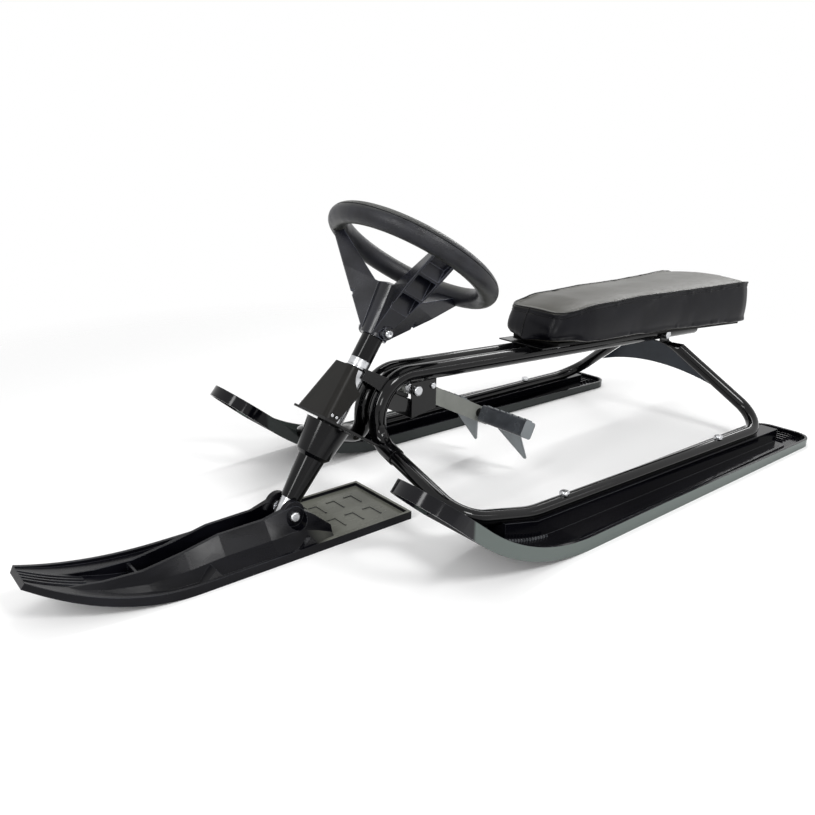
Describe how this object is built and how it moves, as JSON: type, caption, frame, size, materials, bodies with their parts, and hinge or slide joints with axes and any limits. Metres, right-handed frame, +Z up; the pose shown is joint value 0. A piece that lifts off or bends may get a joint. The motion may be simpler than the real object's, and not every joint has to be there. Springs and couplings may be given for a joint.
{
  "type": "steering sled",
  "caption": "Snow sled with a padded seat on bent tubes over runner skis, a wheel that steers the front ski and a sprung foot brake with ground claws.",
  "frame": {"origin": "on the ground under the middle of the sled", "axes": "+X forward along the sled, +Y to the rider's left, +Z up"},
  "size_m": [1.18, 0.498, 0.3847],
  "materials": {
    "tube_paint": "gloss black powder coat",
    "cover_paint": "satin black paint",
    "neck_paint": "satin dark grey paint",
    "claw_paint": "satin dark grey paint",
    "zinc": "bright zinc",
    "ski_plastic": "gloss moulded black",
    "front_plastic": "semi-gloss moulded black",
    "sleeve_plastic": "gloss moulded black",
    "wheel_plastic": "satin moulded black",
    "pedal_plastic": "satin moulded dark grey",
    "cap_plastic": "matt black",
    "grip_rubber": "grained matt black",
    "board_black": "matt black board",
    "seat_vinyl": "grained black vinyl"
  },
  "bodies": {
    "frame": {"top_rail_left": "tube_paint", "top_rail_right": "tube_paint", "runner_tube_left": "tube_paint", "runner_tube_right": "tube_paint", "rail_end_caps": "cap_plastic", "leg_bolt": "zinc", "leg_nut": "zinc", "rail_spacer": "zinc", "rear_arch_panel": "tube_paint", "rear_ski_left": "ski_plastic", "rear_ski_right": "ski_plastic", "ski_bolts": "zinc", "ski_nuts": "zinc", "head_plate": "tube_paint", "head_tube": "zinc", "upper_bush": "cap_plastic", "lower_bush": "cap_plastic", "head_cover": "cover_paint", "cover_rivets": "zinc", "neck_bracket": "neck_paint", "brake_bracket": "tube_paint", "brake_bolt": "zinc", "brake_nut": "zinc", "spring_anchor": "zinc", "brake_spring": "zinc", "seat_bracket_front": "tube_paint", "seat_bracket_rear": "tube_paint", "seat_board": "board_black", "seat_screws": "zinc", "seat_cushion": "seat_vinyl"},
    "column": {"steering_column": "zinc", "thrust_washer": "zinc", "lock_collar": "zinc", "upper_sleeve": "sleeve_plastic", "column_boot": "sleeve_plastic", "wheel_spider": "wheel_plastic", "rim_grip": "grip_rubber", "hub_bolt": "zinc", "hub_nut": "zinc"},
    "front_runner": {"front_ski": "front_plastic", "pivot_bolt": "zinc", "pivot_nut": "zinc", "pivot_washers": "zinc"},
    "brake": {"brake_arm": "tube_paint", "pedal_bar": "tube_paint", "claw_plate": "claw_paint", "pedal_left": "pedal_plastic", "pedal_right": "pedal_plastic"}
  },
  "joints": [
    {"name": "steer", "type": "hinge", "parent": "frame", "child": "column", "pos_m": [0.297, 0, 0.033], "axis": [-0.5621, 0, 0.8271], "range_deg": [-35, 35]},
    {"name": "ski_pitch", "type": "hinge", "parent": "column", "child": "front_runner", "pos_m": [0.297, 0, 0.033], "axis": [0, 1, 0], "range_deg": [-15, 15]},
    {"name": "brake_press", "type": "hinge", "parent": "frame", "child": "brake", "pos_m": [0.1185, 0, 0.155], "axis": [0, -1, 0], "range_deg": [0, 12], "stiffness_Nm_per_rad": 3, "springref_deg": -34.38}
  ]
}
